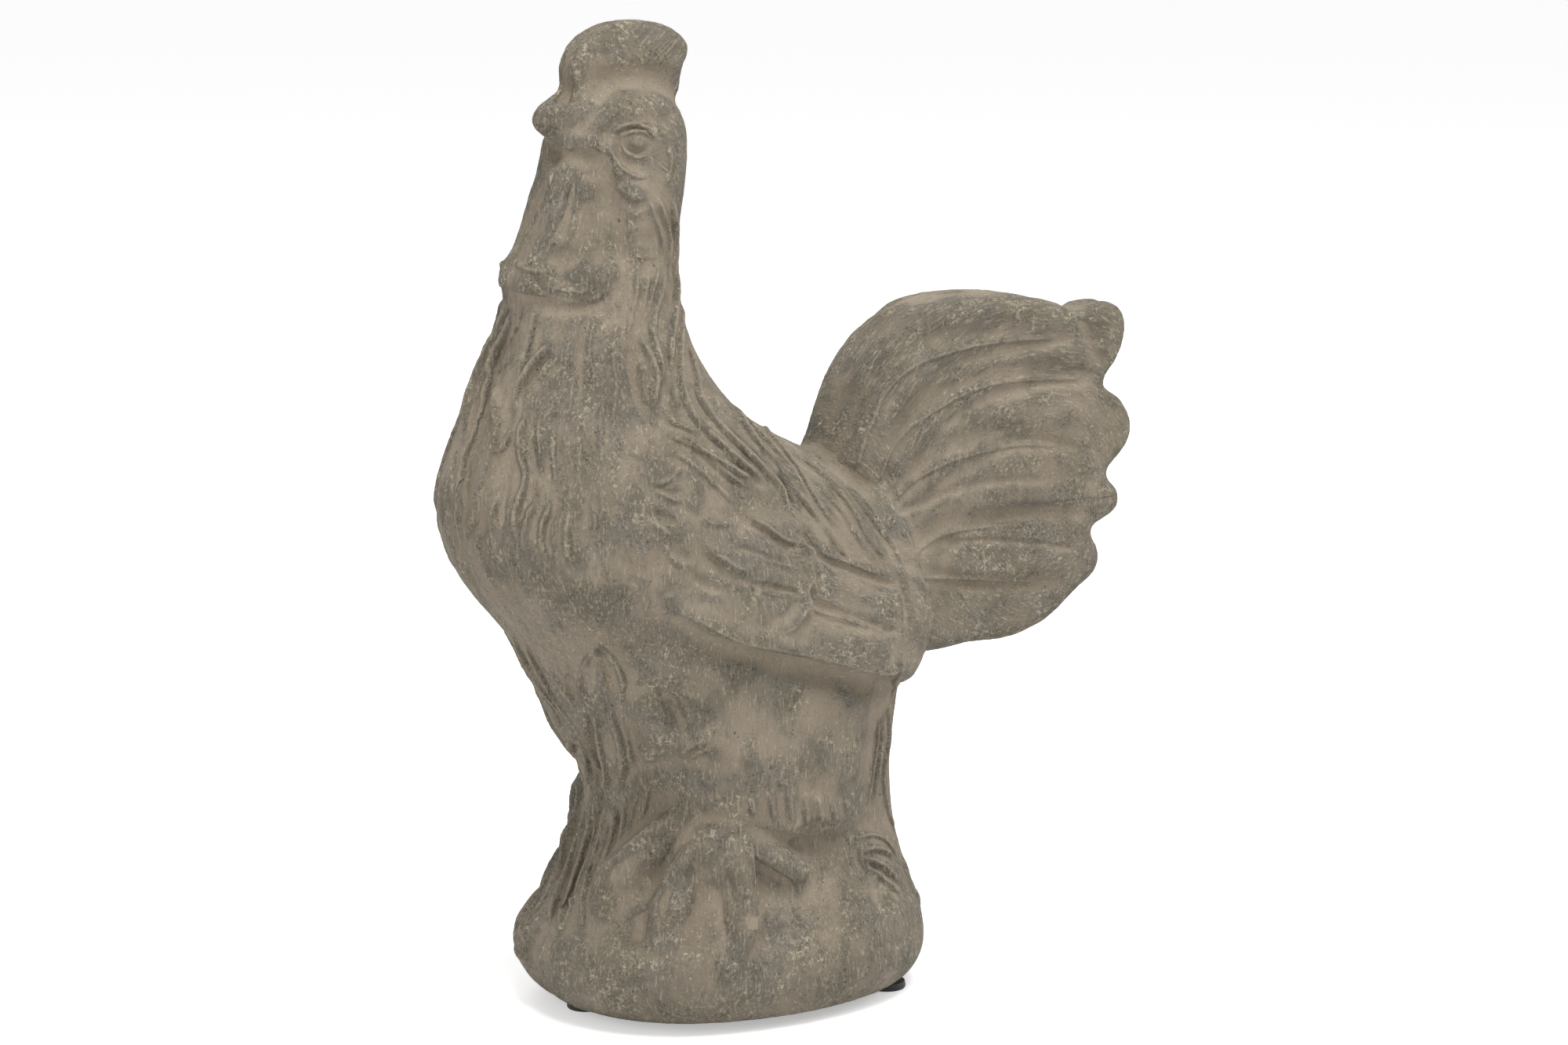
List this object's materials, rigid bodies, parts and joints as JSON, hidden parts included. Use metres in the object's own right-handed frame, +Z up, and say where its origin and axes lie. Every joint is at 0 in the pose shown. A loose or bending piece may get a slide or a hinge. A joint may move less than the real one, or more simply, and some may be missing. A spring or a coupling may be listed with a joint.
{
  "type": "cement rooster figure",
  "caption": "Standing rooster figure in cast cement: comb, wattles, folded wings, arched scalloped tail, rock base on rubber pads.",
  "frame": {"origin": "on the ground, under the middle of the figure's length and width", "axes": "+Z up, the bird faces -X, its left side faces -Y"},
  "size_m": [0.3976, 0.18, 0.4984],
  "materials": {
    "cement": "matte",
    "cement_inner": "matte",
    "rod_steel": "satin",
    "rubber": "matte"
  },
  "bodies": {
    "root": {"left_shell": "cement", "right_shell": "cement", "floor_plate": "cement_inner", "seam_strap": "cement_inner", "tail_rod": "rod_steel", "foot_front": "rubber", "foot_left": "rubber", "foot_right": "rubber"}
  },
  "joints": []
}
